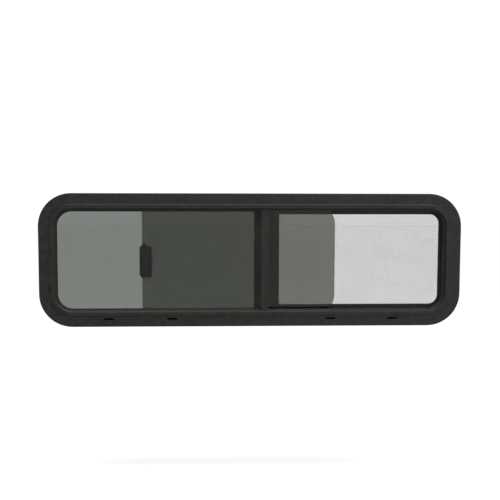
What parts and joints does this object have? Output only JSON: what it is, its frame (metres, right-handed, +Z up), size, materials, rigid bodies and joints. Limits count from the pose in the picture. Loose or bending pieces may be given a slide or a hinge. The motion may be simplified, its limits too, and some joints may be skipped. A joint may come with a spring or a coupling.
{
  "type": "sliding rear truck window",
  "caption": "Wide rounded window for a camper wall: black frame, fixed tinted pane at the left, sliding tinted pane with a latch, insect screen and inner clamp ring.",
  "frame": {"origin": "on the back face of the outside flange, at the middle of the sill, halfway across the flange's lap over the wall", "axes": "+X to the right as seen from outdoors, +Y through the wall towards the indoors, +Z up"},
  "size_m": [1.219, 0.0459, 0.385],
  "materials": {
    "black_aluminium": "satin black powder coat",
    "tinted_glass": "tinted tempered glass",
    "black_rubber": "matte extruded rubber",
    "grey_pile": "woven pile brush strip",
    "zinc_steel": "zinc plated",
    "screen_fibre": "coated glass fibre mesh",
    "black_plastic": "moulded, fine grain"
  },
  "bodies": {
    "fixed_frame": {"outer_frame": "black_aluminium", "fixed_glass": "tinted_glass", "glazing_gasket": "black_rubber", "mullion": "black_aluminium", "mullion_bead": "black_rubber", "mullion_pile": "grey_pile", "mullion_screws": "zinc_steel", "run_channel_head": "black_rubber", "run_channel_sill": "black_rubber", "run_channel_jamb": "black_rubber", "closing_seal": "black_rubber", "pane_stops": "black_rubber", "screen_post": "black_aluminium", "screen_post_screws": "zinc_steel", "screen_frame": "black_aluminium", "screen_spline": "black_rubber", "screen_mesh": "screen_fibre", "screen_clips": "black_plastic", "latch_keeper": "zinc_steel", "clamp_ring_head": "black_aluminium", "clamp_ring_sill": "black_aluminium", "clamp_ring_left": "black_aluminium", "clamp_ring_right": "black_aluminium", "clamp_ring_screws": "zinc_steel"},
    "sliding_pane": {"sliding_glass": "tinted_glass", "latch_body": "black_plastic", "latch_clamp": "black_plastic", "latch_screws": "zinc_steel", "latch_pin": "zinc_steel"},
    "latch": {"latch_lever": "black_plastic"}
  },
  "joints": [
    {"name": "pane_slide", "type": "slide", "parent": "fixed_frame", "child": "sliding_pane", "axis": [1, 0, 0], "range_m": [-0.19, 0.32]},
    {"name": "latch_turn", "type": "hinge", "parent": "sliding_pane", "child": "latch", "pos_m": [-0.3133, 0.03075, 0.17675], "axis": [0, 0, 1], "range_deg": [0, 12], "stiffness_Nm_per_rad": 0.15, "springref_deg": -11.46}
  ]
}
